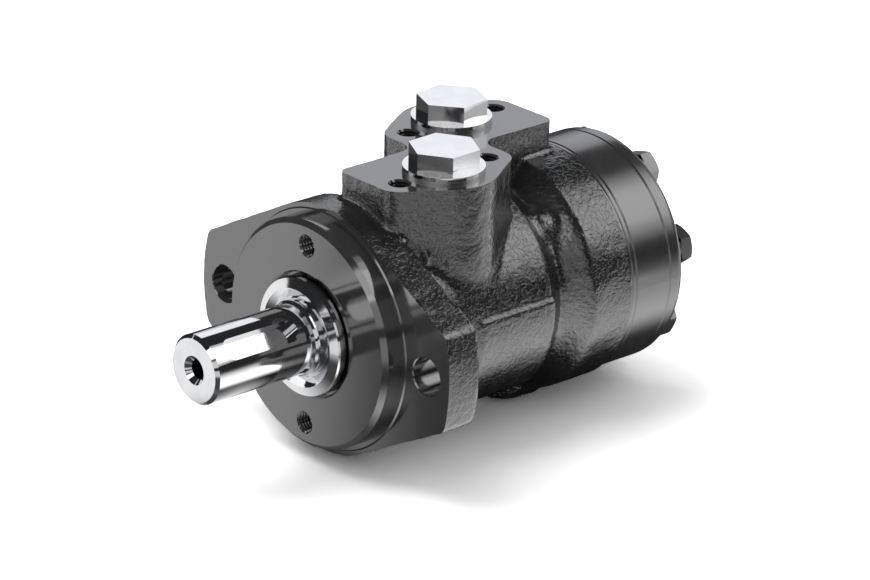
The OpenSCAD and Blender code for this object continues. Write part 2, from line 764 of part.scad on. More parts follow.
// Port plug: thread, collar and hexagon, standing on its sealing washer
module port_plug(side, turn) {
    color([0.9, 0.9, 0.92]) translate([side * port_x, block_mid - side * port_dy, port_face_z]) {
        translate([0, 0, -plug_thread_l])
            cylinder(r = port_r - thread_gap, h = plug_thread_l + plug_seal_t + overlap);
        translate([0, 0, plug_seal_t]) cylinder(r = plug_collar_r, h = plug_collar_t);
        translate([0, 0, plug_seal_t + plug_collar_t]) rotate(turn) hexagon(plug_af, plug_hex_h);
    }
}

module plug_seal(side) {
    color([0.8, 0.8, 0.82]) translate([side * port_x, block_mid - side * port_dy, port_face_z]) difference() {
        cylinder(r = plug_collar_r, h = plug_seal_t);
        translate([0, 0, -overcut]) cylinder(r = port_r + washer_gap, h = plug_seal_t + 2 * overcut);
    }
}

module drain_plug() {
    color([0.6, 0.6, 0.62]) translate([0, drain_y, drain_face_z]) mirror([0, 0, 1]) difference() {
        union() {
            translate([0, 0, -drain_thread_l])
                cylinder(r = drain_r - thread_gap, h = drain_thread_l + drain_seal_t + overlap);
            translate([0, 0, drain_seal_t]) cylinder(r = drain_collar_r, h = drain_collar_t);
        }
        translate([0, 0, drain_seal_t + drain_collar_t - drain_socket_depth])
            hexagon(drain_socket_af, drain_socket_depth + overcut);
    }
}

module drain_seal() {
    color([0.72, 0.45, 0.25]) translate([0, drain_y, drain_face_z - drain_seal_t]) difference() {
        cylinder(r = drain_seal_r, h = drain_seal_t);
        translate([0, 0, -overcut]) cylinder(r = drain_r + washer_gap, h = drain_seal_t + 2 * overcut);
    }
}

// Ball of a check valve, just off its seat
module check_ball(i) {
    color([0.85, 0.85, 0.87]) rotate([0, -ball_angles[i], 0])
        translate([channel_circle_r, body_l - ball_bore_depth + ball_lift, 0]) sphere(r = ball_r);
}

housing();
output_shaft();
dust_cap();
dust_seal();
shaft_seal();
seal_backup_ring();
thrust_washer_front();
thrust_cage();
thrust_needles();
thrust_washer_rear();
cardan_shaft();
spacer_plate();
gear_ring();
rotor();
cardan_spacer();
end_cover();
end_cover_screws();
screw_washers();
o_ring_at(body_l, -1);  // o_ring_body
o_ring_at(ring_s, 1);  // o_ring_gear
o_ring_at(cover_s, 1);  // o_ring_cover
port_plug(1, front_plug_turn);  // port_plug_front
port_plug(-1, rear_plug_turn);  // port_plug_rear
plug_seal(1);  // plug_seal_front
plug_seal(-1);  // plug_seal_rear
drain_plug();
drain_seal();
check_ball(0);  // check_ball_left
check_ball(1);  // check_ball_right
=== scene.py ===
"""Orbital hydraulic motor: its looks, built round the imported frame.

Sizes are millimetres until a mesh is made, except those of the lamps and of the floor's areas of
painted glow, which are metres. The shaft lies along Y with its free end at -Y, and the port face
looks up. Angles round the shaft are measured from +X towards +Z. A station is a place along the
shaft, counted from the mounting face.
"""
import math

import bmesh
import bpy
import numpy as np
from mathutils import Matrix


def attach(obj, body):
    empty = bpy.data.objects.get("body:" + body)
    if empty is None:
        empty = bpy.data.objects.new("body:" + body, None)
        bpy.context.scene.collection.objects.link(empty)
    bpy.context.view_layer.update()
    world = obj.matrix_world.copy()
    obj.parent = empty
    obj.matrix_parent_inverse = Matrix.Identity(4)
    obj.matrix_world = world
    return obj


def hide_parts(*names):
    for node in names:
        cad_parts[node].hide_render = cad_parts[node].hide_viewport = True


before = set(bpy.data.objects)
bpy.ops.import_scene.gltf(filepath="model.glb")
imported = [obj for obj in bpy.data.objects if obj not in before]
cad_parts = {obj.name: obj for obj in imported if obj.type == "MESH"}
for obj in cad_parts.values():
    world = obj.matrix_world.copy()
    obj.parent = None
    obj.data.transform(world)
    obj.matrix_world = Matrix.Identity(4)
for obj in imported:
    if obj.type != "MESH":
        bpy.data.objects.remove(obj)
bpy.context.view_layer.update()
MM = 0.001


# Meshes

def mesh_object(name, points, faces, smooth_deg=32.0):
    """A mesh object at the origin from points in millimetres and a list or array of faces."""
    mesh = bpy.data.meshes.new(name)
    mesh.from_pydata((np.asarray(points) * MM).tolist(), [], [list(f) for f in faces])
    mesh.validate()
    piece = bpy.data.objects.new(name, mesh)
    bpy.context.scene.collection.objects.link(piece)
    shade(piece, smooth_deg)
    return piece


def shade(piece, smooth_deg):
    """Smooth shading that stays crisp where faces meet at more than the given angle."""
    mesh = piece.data
    mesh.polygons.foreach_set("use_smooth", np.ones(len(mesh.polygons), bool))
    mesh.set_sharp_from_angle(angle=math.radians(smooth_deg))
    mesh.update()


def turned(name, profile, centre=(0, 0), steps=128):
    """Surface of revolution about the line X, Z = centre that runs along Y. Each [radius, station]
    point of the profile goes round a circle, and the last circle joins the first. Points with
    radius 0 become one pole."""
    profile = np.asarray(profile, float)
    n = len(profile)
    turn = np.arange(steps) * 2 * np.pi / steps
    points = np.empty((n, steps, 3))
    points[..., 0] = centre[0] + profile[:, :1] * np.cos(turn)
    points[..., 1] = profile[:, 1:]
    points[..., 2] = centre[1] + profile[:, :1] * np.sin(turn)
    a = np.arange(n * steps).reshape(n, steps)
    b = np.roll(a, -1, 0)
    quads = np.stack([a, b, np.roll(b, -1, 1), np.roll(a, -1, 1)], -1).reshape(-1, 4)
    piece = mesh_object(name, points.reshape(-1, 3), quads)
    weld(piece)
    return piece


def slab(name, low, high):
    """A box from its lowest corner to its highest."""
    plan = ((low[0], low[1]), (high[0], low[1]), (high[0], high[1]), (low[0], high[1]))
    corners = [(x, y, z) for z in (low[2], high[2]) for x, y in plan]
    sides = [(3, 2, 1, 0), (4, 5, 6, 7), (0, 1, 5, 4), (1, 2, 6, 5), (2, 3, 7, 6), (3, 0, 4, 7)]
    return mesh_object(name, corners, sides)


def weld(piece, gap=1e-7):
    """Merges points that coincide, drops faces without area and turns all faces outwards."""
    work = bmesh.new()
    work.from_mesh(piece.data)
    bmesh.ops.remove_doubles(work, verts=work.verts, dist=gap)
    bmesh.ops.dissolve_degenerate(work, dist=gap, edges=work.edges)
    bmesh.ops.recalc_face_normals(work, faces=work.faces)
    work.to_mesh(piece.data)
    work.free()
    piece.data.update()


def place(piece, matrix):
    """Moves the mesh itself, so that the object stays at the origin."""
    piece.data.transform(matrix)
    piece.data.update()
    return piece


def cut(piece, cutter):
    """Takes the closed form of a cutter out of a piece, and removes the cutter."""
    step = piece.modifiers.new("cut", "BOOLEAN")
    step.solver = "MANIFOLD"
    step.operation = "DIFFERENCE"
    step.object = cutter
    bake_modifiers(piece)
    bpy.data.objects.remove(cutter)


def bake_modifiers(piece):
    """Puts the mesh that the modifiers give in place of the piece's own."""
    graph = bpy.context.evaluated_depsgraph_get()
    graph.update()
    done = bpy.data.meshes.new_from_object(piece.evaluated_get(graph), depsgraph=graph)
    piece.modifiers.clear()
    piece.data = done


# Implicit forms: each function gives the distance from its surface, negative inside

def arc(centre, r, a0, a1, step=4.0):
    """Points along an arc, angles in degrees."""
    n = int(np.ceil(abs(a1 - a0) / step))
    a = np.radians(np.linspace(a0, a1, n + 1))
    return np.stack([centre[0] + r * np.cos(a), centre[1] + r * np.sin(a)], -1)


def outline_distance(u, v, outline):
    """Signed distance in a plane from a closed outline: the nearest edge gives the size, and the
    number of edges crossed on the way out gives the sign."""
    u, v = np.broadcast_arrays(u, v)
    shape = u.shape
    u = u.reshape(-1, 1)
    v = v.reshape(-1, 1)
    best = np.empty(len(u))
    inside = np.zeros(len(u), bool)
    ends = np.roll(outline, -1, 0)
    eu, ev = ends[:, 0] - outline[:, 0], ends[:, 1] - outline[:, 1]
    chunk = 20000
    for first in range(0, len(u), chunk):
        part = slice(first, first + chunk)
        pu, pv = u[part], v[part]
        wu, wv = pu - outline[:, 0], pv - outline[:, 1]
        along = np.clip((wu * eu + wv * ev) / (eu * eu + ev * ev), 0, 1)
        best[part] = np.sqrt(((wu - eu * along) ** 2 + (wv - ev * along) ** 2).min(1))
        above = (outline[:, 1] > pv) != (ends[:, 1] > pv)
        with np.errstate(divide="ignore", invalid="ignore"):
            hit = pu < eu * (pv - outline[:, 1]) / ev + outline[:, 0]
        inside[part] = (above & hit).sum(1) % 2 == 1
    return np.where(inside, -best, best).reshape(shape)


def blend(a, b, r):
    """Union of two forms with a fillet of radius r between them."""
    u = np.maximum(r - a, 0)
    v = np.maximum(r - b, 0)
    return np.maximum(r, np.minimum(a, b)) - np.sqrt(u * u + v * v)


def meet(a, b, r):
    """Intersection of two forms whose common edge is rounded with radius r."""
    u = np.maximum(r + a, 0)
    v = np.maximum(r + b, 0)
    return np.minimum(-r, np.maximum(a, b)) + np.sqrt(u * u + v * v)


def ease(x, x0, x1):
    """A smooth climb from 0 at x0 to 1 at x1: t * t * (3 - 2 * t)."""
    t = np.clip((x - x0) / (x1 - x0), 0, 1)
    return t * t * (3 - 2 * t)


def lattice_noise(x, y, z, size, seed):
    """Smooth random waves from -1 to 1: random numbers on a cubic lattice that repeats after
    period points, eased between its points. The offset keeps every place above 0."""
    period, offset = 32, 100.0
    rng = np.random.default_rng(seed)
    table = rng.uniform(-1, 1, (period, period, period))
    cells = []
    for c in (x, y, z):
        c = np.asarray(c, float) / size + offset
        low = np.floor(c).astype(int)
        t = c - low
        cells.append((low % period, (low + 1) % period, t * t * (3 - 2 * t)))
    (i0, i1, tx), (j0, j1, ty), (k0, k1, tz) = cells
    total = 0
    for i, wx in ((i0, 1 - tx), (i1, tx)):
        for j, wy in ((j0, 1 - ty), (j1, ty)):
            for k, wz in ((k0, 1 - tz), (k1, tz)):
                total = total + table[i, j, k] * wx * wy * wz
    return total


def surface_net(field, axes):
    """Polygonises a field on a grid. Each cell that the surface crosses gets one point, the mean of
    the crossings on its edges, and each grid edge that it crosses gets one face of four such
    points."""
    shape = field.shape
    inside = field < 0
    total = np.zeros(tuple(s - 1 for s in shape) + (3,))
    count = np.zeros(tuple(s - 1 for s in shape))
    crossings = []
    for axis in range(3):
        low = [slice(None)] * 3
        high = [slice(None)] * 3
        low[axis] = slice(0, -1)
        high[axis] = slice(1, None)
        low, high = tuple(low), tuple(high)
        i, j, k = np.nonzero(inside[low] != inside[high])
        a = field[low][i, j, k]
        b = field[high][i, j, k]
        base = np.stack([i, j, k], -1)
        at = base.astype(float)
        at[:, axis] += a / (a - b)
        out = inside[low][i, j, k]
        others = [n for n in range(3) if n != axis]
        around = []
        for d0, d1 in ((0, 0), (-1, 0), (-1, -1), (0, -1)):
            cell = base.copy()
            cell[:, others[0]] += d0
            cell[:, others[1]] += d1
            around.append(cell)
            np.add.at(total, tuple(cell.T), at)
            np.add.at(count, tuple(cell.T), 1)
        crossings.append((np.stack(around, 1), out, axis))
    used = count > 0
    number = np.full(count.shape, -1)
    number[used] = np.arange(used.sum())
    points = total[used] / count[used][:, None]
    points = np.stack([g[0] + points[:, n] * (g[1] - g[0]) for n, g in enumerate(axes)], -1)
    faces = []
    for around, out, axis in crossings:
        quad = number[around[..., 0], around[..., 1], around[..., 2]]
        flip = out if axis != 1 else ~out
        faces.append(np.where(flip[:, None], quad, quad[:, ::-1]))
    return points, np.concatenate(faces)


# The casting

FLANGE_R = 45.0
FLANGE_T = 14.0
FLANGE_EDGE = 1.2
FLANGE_FILLET = 4.0
EAR_R = 64.8
EAR_CORNER = 5.0
EAR_HALF = 13.5  # degrees

BARREL_R = 39.8
BARREL_FRONT = 1.0
WAIST_R = 36.0
WAIST_RUN = (69.3, 78.6)  # stations over which the radius falls to the waist
RIM_R = 43.6
RIM_RUN = (78.2, 88.6)  # stations over which it climbs to the rim
BODY_L = 106.8

PORT_FACE = 54.7
BLOCK_MID = 55.8
BLOCK_FOOT = 3.0
BLOCK_FILLET = 2.2
PORT_X = 17.6
PORT_DY = 17.55
PORT_Y = {1: BLOCK_MID - PORT_DY, -1: BLOCK_MID + PORT_DY}
BOLT = 20.1
LAND = 8.4
COLUMN_R = 19.0
INNER_X = 4.8
INNER_CORNER = 3.5
NOTCH_R = 6.5

ROUGH_FRONT = -9.0  # front of the blank, which the pilot is turned out of
STOCK = 2.0  # metal on the port face and the rear face that machining takes off

# A low raised patch on the barrel's side
PAD_Y, PAD_HALF_Y = 54.5, 17.5
PAD_TURN, PAD_HALF_TURN = -19.0, 27.0
PAD_ARC = 0.7  # millimetres to a degree
PAD_RISE = 0.9
PAD_EDGE = 1.2
PAD_FILLET = 1.4

# A mound that fills part of the waist
HUMP_TURN, HUMP_Y = 49.0, 80.0
HUMP_HALF_ACROSS, HUMP_HALF_Y = 8.5, 9.5
HUMP_ARC = 0.68  # millimetres to a degree
HUMP_SINK = 0.4
HUMP_FALL = 4.0
HUMP_FILLET = 2.5

# A small ellipsoid beside the front port's column
NUB_AT = (28.6, 21.2, 30.0)
NUB_R, NUB_HALF_Z = 1.7, 3.2
NUB_FILLET = 0.8

DRAIN_Y = 85.0
BOSS_R = 13.0
BOSS_LOW, BOSS_HIGH = -43.2, -25.0
BOSS_FILLET = 3.0

SKIN_WAVES = ((0.16, 7.0, 3), (0.07, 2.6, 5))  # height, length, seed
SKIN_LIMIT = 0.12  # a face farther than this from the cast skin was machined

CASTING_SPAN = ((-68, 68), (-11, 110), (-48, 59))
CASTING_STEP = 0.95


def flange_outline():
    """Round middle, two tangent edges to each ear, and ear ends that are round about the shaft."""
    reach = EAR_R - EAR_CORNER
    lean = math.degrees(math.acos((FLANGE_R - EAR_CORNER) / reach))
    half_turn = math.radians(EAR_HALF)
    corner = reach * np.array([math.cos(half_turn), math.sin(half_turn)])
    quarter = np.concatenate([
        arc((0, 0), EAR_R, 0, EAR_HALF),
        arc(corner, EAR_CORNER, EAR_HALF, EAR_HALF + lean),
        arc((0, 0), FLANGE_R, EAR_HALF + lean, 90)])
    half = np.concatenate([quarter, quarter[::-1] * [-1, 1]])
    return without_repeats(np.concatenate([half, half[::-1] * [1, -1]]))


def block_outline():
    """Plan of the port block: two lobes, one the half turn of the other."""
    port = np.array([PORT_X, -PORT_DY])
    bolt = np.array([0, BOLT])
    low = -PORT_DY - BOLT - LAND
    high = -PORT_DY + BOLT + LAND
    flank = 90 - math.degrees(math.acos((COLUMN_R - LAND) / BOLT))
    half = np.concatenate([
        arc((INNER_CORNER - INNER_X, low + INNER_CORNER), INNER_CORNER, 180, 270),
        arc(port - bolt, LAND, 270, 360 - flank),
        arc(port, COLUMN_R, -flank, flank),
        arc(port + bolt, LAND, flank, 90),
        arc((INNER_X + NOTCH_R, high + NOTCH_R), NOTCH_R, 270, 180)])
    return without_repeats(np.concatenate([half, -half])) + [0, BLOCK_MID]


def without_repeats(outline):
    """Drops points that repeat the one before."""
    keep = np.linalg.norm(outline - np.roll(outline, 1, 0), axis=1) > 1e-4
    return outline[keep]


FLANGE_PLAN = flange_outline()
BLOCK_PLAN = block_outline()


def casting(x, y, z):
    """Distance from the skin of the casting before machining, with rho and turn as the polar
    coordinates round the shaft:

    barrel: rho - r(y), where r eases from BARREL_R to WAIST_R and on to RIM_R
    flange: its plan, cut off at FLANGE_T with a rounded rear edge
    block: its plan, from inside the barrel to above the port face
    pad: |y - PAD_Y| and |turn - PAD_TURN| within limits, up to PAD_RISE above the barrel
    hump: rho - BARREL_R + HUMP_SINK + HUMP_FALL * (a * a + b * b), where a and b are the distances
        across and along from its middle over its half sizes
    nub: an ellipsoid
    boss: an upright cylinder round the drain

    Each form joins the others with its own fillet, and the waves of the skin come last."""
    rho = np.sqrt(x * x + z * z)
    turn = np.degrees(np.arctan2(z, x))
    barrel_r = (BARREL_R + (WAIST_R - BARREL_R) * ease(y, *WAIST_RUN)
                + (RIM_R - WAIST_R) * ease(y, *RIM_RUN))
    body = np.maximum(np.maximum(rho - barrel_r, y - BODY_L - STOCK), BARREL_FRONT - y)

    flange = meet(outline_distance(x, z, FLANGE_PLAN), y - FLANGE_T, FLANGE_EDGE)
    flange = np.maximum(flange, ROUGH_FRONT - y)
    body = blend(body, flange, FLANGE_FILLET)

    block = np.maximum(outline_distance(x, y, BLOCK_PLAN), z - PORT_FACE - STOCK)
    block = np.maximum(block, BLOCK_FOOT - z)
    body = blend(body, block, BLOCK_FILLET)

    patch = np.maximum(np.abs(y - PAD_Y) - PAD_HALF_Y,
                       np.abs(turn - PAD_TURN) * PAD_ARC - PAD_HALF_TURN * PAD_ARC)
    body = blend(body, meet(patch, rho - BARREL_R - PAD_RISE, PAD_EDGE), PAD_FILLET)

    a = (turn - HUMP_TURN) * HUMP_ARC / HUMP_HALF_ACROSS
    b = (y - HUMP_Y) / HUMP_HALF_Y
    body = blend(body, rho - BARREL_R + HUMP_SINK + HUMP_FALL * (a ** 2 + b ** 2), HUMP_FILLET)

    nub_x, nub_y, nub_z = NUB_AT
    nub = np.sqrt(((x - nub_x) / NUB_R) ** 2 + ((y - nub_y) / NUB_R) ** 2
                  + ((z - nub_z) / NUB_HALF_Z) ** 2) * NUB_R - NUB_R
    body = blend(body, nub, NUB_FILLET)

    boss = np.maximum(np.sqrt(x * x + (y - DRAIN_Y) ** 2) - BOSS_R,
                      np.maximum(BOSS_LOW - z, z - BOSS_HIGH))
    body = blend(body, boss, BOSS_FILLET)

    skin = sum(height * lattice_noise(x, y, z, size, seed) for height, size, seed in SKIN_WAVES)
    return body - skin


def casting_blank(step):
    """The casting as a mesh: a surface net, whose points then slide along the field's slope onto
    the surface itself. A slide is no longer than half a grid step."""
    axes = [np.arange(low, high + step, step) for low, high in CASTING_SPAN]
    x, y, z = axes[0][:, None, None], axes[1][None, :, None], axes[2][None, None, :]
    field = np.broadcast_to(casting(x, y, z), [len(a) for a in axes])
    points, faces = surface_net(field, axes)
    h = 0.05
    slides, least_slope = 2, 0.2
    for _ in range(slides):
        px, py, pz = points.T
        value = casting(px, py, pz)
        slope = np.stack([casting(px + h, py, pz) - casting(px - h, py, pz),
                          casting(px, py + h, pz) - casting(px, py - h, pz),
                          casting(px, py, pz + h) - casting(px, py, pz - h)], -1) / (2 * h)
        move = -(value / np.maximum((slope ** 2).sum(1), least_slope))[:, None] * slope
        reach = np.linalg.norm(move, axis=1, keepdims=True)
        points = points + move * np.minimum(1, 0.5 * step / np.maximum(reach, 1e-9))
    return mesh_object("motor_body", points, faces)


# Machining

OUTSIDE = 80.0  # farther out than the body reaches
PAST_REAR = 120.0
PILOT_R = 41.25
PILOT_FRONT = -8.0
PILOT_BEVEL = 1.7
FOOT_R, FOOT_RISE = 43.4, 0.5  # low step round the foot of the pilot

RING_R = 42.5
RIM_REAR = 105.1
RING_BEVEL = 0.3

CAP_BORE_R, CAP_SEAT, CAP_BEVEL = 22.3, -5.2, 0.6
SEAL_BORE_R = 19.0
WEB_R, WEB_FRONT, WEB_REAR = 13.9, 7.4, 12.0
SPOOL_BORE_R = 19.55

EAR_HOLE_X, EAR_HOLE_R, EAR_BEVEL = 53.2, 6.75, 0.35
FACE_HOLE_Z, FACE_HOLE_DEPTH = 32.8, 12.0
PORT_SCREW_DEPTH = 14.0
DRILL_R, THREAD_R, PITCH = 3.4, 3.95, 1.25  # M8
THREAD_MOUTH = 0.15

PORT_MOUTH_R, PORT_R, PORT_BEVEL, PORT_DEPTH = 12.2, 10.52, 1.6, 15.0
PASSAGE_R, PASSAGE_END = 6.0, 36.0

DRAIN_FACE = -41.6
SPOT_FACE_R = 10.6
DRAIN_MOUTH_R, DRAIN_R, DRAIN_BEVEL, DRAIN_DEPTH = 7.3, 6.62, 0.7, 12.0
DRAIN_PASSAGE_R, DRAIN_PASSAGE_END = 3.0, 24.0

DOWN, UP = -90, 90


def machine(body):
    """Cuts every turned, milled and drilled surface into the casting with crisp edges."""
    front = PILOT_FRONT
    # in front of the mounting face everything outside the pilot and its foot goes
    cut(body, turned("cut_front", [
        [OUTSIDE, 0], [FOOT_R, 0], [FOOT_R - FOOT_RISE, -FOOT_RISE], [PILOT_R, -FOOT_RISE],
        [PILOT_R, front + PILOT_BEVEL], [PILOT_R - PILOT_BEVEL, front], [0, front],
        [0, front - 6], [OUTSIDE, front - 6]], steps=192))
    cut(body, turned("cut_rear", [
        [OUTSIDE, RIM_REAR], [RING_R + RING_BEVEL, RIM_REAR], [RING_R, RIM_REAR + RING_BEVEL],
        [RING_R, BODY_L - RING_BEVEL], [RING_R - RING_BEVEL, BODY_L], [0, BODY_L],
        [0, PAST_REAR], [OUTSIDE, PAST_REAR]], steps=192))
    cut(body, slab("cut_top", (-OUTSIDE, -15, PORT_FACE), (OUTSIDE, 125, 70)))
    cut(body, turned("cut_bore", [
        [0, front - 1], [CAP_BORE_R + CAP_BEVEL, front - 1], [CAP_BORE_R + CAP_BEVEL, front],
        [CAP_BORE_R, front + CAP_BEVEL], [CAP_BORE_R, CAP_SEAT], [SEAL_BORE_R, CAP_SEAT],
        [SEAL_BORE_R, WEB_FRONT], [WEB_R, WEB_FRONT], [WEB_R, WEB_REAR], [SPOOL_BORE_R, WEB_REAR],
        [SPOOL_BORE_R, BODY_L + 1], [0, BODY_L + 1]], steps=160))
    for side in (1, -1):
        cut(body, turned("cut_ear", ear_hole_profile(), (side * EAR_HOLE_X, 0), 96))
        cut(body, threaded_hole("cut_face_hole", front, FACE_HOLE_DEPTH, (0, side * FACE_HOLE_Z)))
        x, y = side * PORT_X, PORT_Y[side]
        for along in (-BOLT, BOLT):
            hole = threaded_hole("cut_port_hole", 0, PORT_SCREW_DEPTH, (0, 0))
            cut(body, place(hole, drilled_from(x, y + along, PORT_FACE, DOWN)))
        port = turned("cut_port", [
            [0, -1], [PORT_MOUTH_R, -1], [PORT_MOUTH_R, 0], [PORT_R, PORT_BEVEL],
            [PORT_R, PORT_DEPTH], [PASSAGE_R, PORT_DEPTH + 2], [PASSAGE_R, PASSAGE_END],
            [0, PASSAGE_END]])
        cut(body, place(port, drilled_from(x, y, PORT_FACE, DOWN)))
    drain = turned("cut_spot", [
        [0, -6], [SPOT_FACE_R, -6], [SPOT_FACE_R, 0], [DRAIN_MOUTH_R, 0], [DRAIN_R, DRAIN_BEVEL],
        [DRAIN_R, DRAIN_DEPTH], [DRAIN_PASSAGE_R, DRAIN_DEPTH + 1],
        [DRAIN_PASSAGE_R, DRAIN_PASSAGE_END], [0, DRAIN_PASSAGE_END]])
    cut(body, place(drain, drilled_from(0, DRAIN_Y, DRAIN_FACE, UP)))


def ear_hole_profile():
    """Profile of a through hole in the flange with a small bevel at each face."""
    r, wide, clear = EAR_HOLE_R, EAR_HOLE_R + EAR_BEVEL, EAR_HOLE_R + EAR_BEVEL + 0.3
    return [[0, -1], [clear, -1], [wide, 0], [r, EAR_BEVEL], [r, FLANGE_T - EAR_BEVEL],
            [wide, FLANGE_T], [clear, FLANGE_T + 3], [0, FLANGE_T + 3]]


def threaded_hole(name, face, depth, centre):
    """An M8 hole whose wall zigzags between the tap drill and the thread's full depth. The
    grooves are rings, one to each pitch, and stop short of the hole's end."""
    start = face + THREAD_MOUTH
    profile = [[0, face - 1], [THREAD_R + THREAD_MOUTH, face - 1],
               [THREAD_R + THREAD_MOUTH, face], [THREAD_R, start]]
    for i in range(int((depth - THREAD_MOUTH - 2) / PITCH)):
        s = start + i * PITCH
        profile += [[DRILL_R, s + PITCH * 0.35], [DRILL_R, s + PITCH * 0.5],
                    [THREAD_R, s + PITCH * 0.85], [THREAD_R, s + PITCH]]
    profile += [[DRILL_R, face + depth], [0, face + depth + 2]]
    return turned(name, profile, centre, 48)


def drilled_from(x, y, z, way):
    """Turns a form that was made along Y so that it starts at a point and runs down or up."""
    return Matrix.Translation((x * MM, y * MM, z * MM)) @ Matrix.Rotation(math.radians(way), 4, "X")


def body_slots(body, cast, machined):
    """Gives the casting's own skin one material and everything that was cut the other."""
    mesh = body.data
    middle = np.empty(len(mesh.polygons) * 3)
    mesh.polygons.foreach_get("center", middle)
    x, y, z = (middle.reshape(-1, 3) / MM).T
    off = np.abs(casting(x, y, z)) > SKIN_LIMIT
    mesh.materials.clear()
    mesh.materials.append(cast)
    mesh.materials.append(machined)
    mesh.polygons.foreach_set("material_index", off.astype(np.int32))
    mesh.update()


# Materials

class Wire:
    """A value in a shader. Python's operators on it add Math nodes."""

    def __init__(self, graph, socket):
        self.graph = graph
        self.socket = socket

    def math(self, operation, *others):
        return self.graph.node("ShaderNodeMath", {"operation": operation}, [self, *others])

    def __add__(self, other):
        return self.math("ADD", other)

    def __sub__(self, other):
        return self.math("SUBTRACT", other)

    def __mul__(self, other):
        return self.math("MULTIPLY", other)

    def __pow__(self, other):
        return self.math("POWER", other)

    def __rsub__(self, other):
        return self.graph.node("ShaderNodeMath", {"operation": "SUBTRACT"}, [other, self])

    __radd__ = __add__
    __rmul__ = __mul__

    def between(self, low, high):
        """0 below low, 1 above high, eased between them."""
        return self.graph.node("ShaderNodeMapRange", {"interpolation_type": "SMOOTHSTEP"},
                               {"Value": self, "From Min": low, "From Max": high})


class Finish:
    """The nodes of one procedural material, or of the world when its tree is given."""

    def __init__(self, name, tree=None):
        if tree is None:
            self.material = bpy.data.materials.new(name)
            self.material.use_nodes = True
            tree = self.material.node_tree
        self.tree = tree
        tree.nodes.clear()

    def node(self, kind, settings=None, inputs=None, out=0):
        """Adds a node: its settings first, then the values or links of its sockets."""
        made = self.tree.nodes.new(kind)
        for key, value in (settings or {}).items():
            setattr(made, key, value)
        pairs = inputs.items() if isinstance(inputs, dict) else enumerate(inputs or [])
        for key, value in pairs:
            socket = self.find(made.inputs, key)
            if isinstance(value, Wire):
                self.tree.links.new(value.socket, socket)
            else:
                socket.default_value = value
        return Wire(self, self.find(made.outputs, out))

    @staticmethod
    def find(sockets, key):
        """A socket by its number, or the enabled one with that name or identifier."""
        if isinstance(key, int):
            return sockets[key]
        return next(s for s in sockets if key in (s.identifier, s.name) and s.enabled)

    def place(self):
        return self.node("ShaderNodeTexCoord", out="Object")

    def noise(self, size_mm, detail=2.0, rough=0.5):
        """Noise whose waves are about size_mm long."""
        return self.node("ShaderNodeTexNoise", {"noise_dimensions": "3D"},
                         {"Vector": self.place(), "Scale": 1 / (size_mm * MM), "Detail": detail,
                          "Roughness": rough}, out="Fac")

    def cells(self, size_mm, smooth=0.6):
        """Rounded cells about size_mm wide, lowest at their middles."""
        return self.node("ShaderNodeTexVoronoi", {"feature": "SMOOTH_F1"},
                         {"Vector": self.place(), "Scale": 1 / (size_mm * MM),
                          "Smoothness": smooth}, out="Distance")

    def worn(self, rough, size_mm, detail=2.0):
        """A roughness from 0.8 to 1.2 times the given one that changes over size_mm."""
        return self.noise(size_mm, detail) * (rough * 0.4) + rough * 0.8

    def mix(self, factor, a, b):
        return self.node("ShaderNodeMix", {"data_type": "RGBA"},
                         {"Factor_Float": factor, "A_Color": a, "B_Color": b}, out="Result_Color")

    def bump(self, height, depth_mm, below=None):
        """The normal over a relief whose height of 1 stands for depth_mm."""
        inputs = {"Height": height, "Distance": depth_mm * MM, "Strength": 1.0}
        if below is not None:
            inputs["Normal"] = below
        return self.node("ShaderNodeBump", {}, inputs)

    def surface(self, **inputs):
        keys = {"color": "Base Color", "rough": "Roughness", "metal": "Metallic",
                "normal": "Normal", "ior": "IOR"}
        self.output(self.node("ShaderNodeBsdfPrincipled", {},
                              {keys[k]: v for k, v in inputs.items()}))
        return self.material

    def output(self, shader, kind="ShaderNodeOutputMaterial"):
        end = self.tree.nodes.new(kind)
        self.tree.links.new(shader.socket, end.inputs["Surface"])


def rgb(r, g, b):
    return (r, g, b, 1.0)


def cast_paint():
    """Gloss paint over sand casting: pits one to two millimetres across, with longer and softer
    waves below."""
    f = Finish("cast_paint")
    pits = f.noise(1.7, 2.0, 0.6).between(0.4, 0.56) + f.cells(1.1) * 0.5
    wave = f.noise(4.5, 2.0)
    tone = f.mix(f.noise(9.0, 3.0).between(0.3, 0.7),
                 rgb(0.015, 0.015, 0.017), rgb(0.026, 0.025, 0.026))
    return f.surface(color=tone, rough=f.noise(3.0) * 0.12 + 0.12, ior=2.1,
                     normal=f.bump(pits, 0.075, f.bump(wave, 0.16)))


def machined_paint(name, rough):
    """Thin gloss paint on turned faces: smooth, with a faint grain."""
    f = Finish(name)
    tone = f.mix(f.noise(14.0, 3.0).between(0.35, 0.65),
                 rgb(0.037, 0.0365, 0.037), rgb(0.044, 0.0435, 0.044))
    return f.surface(color=tone, rough=f.worn(rough, 6.0), ior=2.3,
                     normal=f.bump(f.noise(0.7, 2.0), 0.003))


def steel(name, tone, rough):
    """Bare or plated metal with slightly lighter clouds and a faint grain."""
    f = Finish(name)
    light = tuple(min(1.0, c * 1.06) for c in tone)
    base = f.mix(f.noise(8.0, 3.0).between(0.35, 0.65), rgb(*tone), rgb(*light))
    return f.surface(color=base, metal=1.0, rough=f.worn(rough, 2.5, 3.0),
                     normal=f.bump(f.noise(0.5, 2.0), 0.004))


def rubber():
    f = Finish("rubber")
    tone = f.mix(f.noise(3.0), rgb(0.012, 0.012, 0.012), rgb(0.02, 0.02, 0.02))
    return f.surface(color=tone, rough=f.noise(2.0) * 0.1 + 0.45, normal=f.bump(f.noise(0.4), 0.01))


# The motor

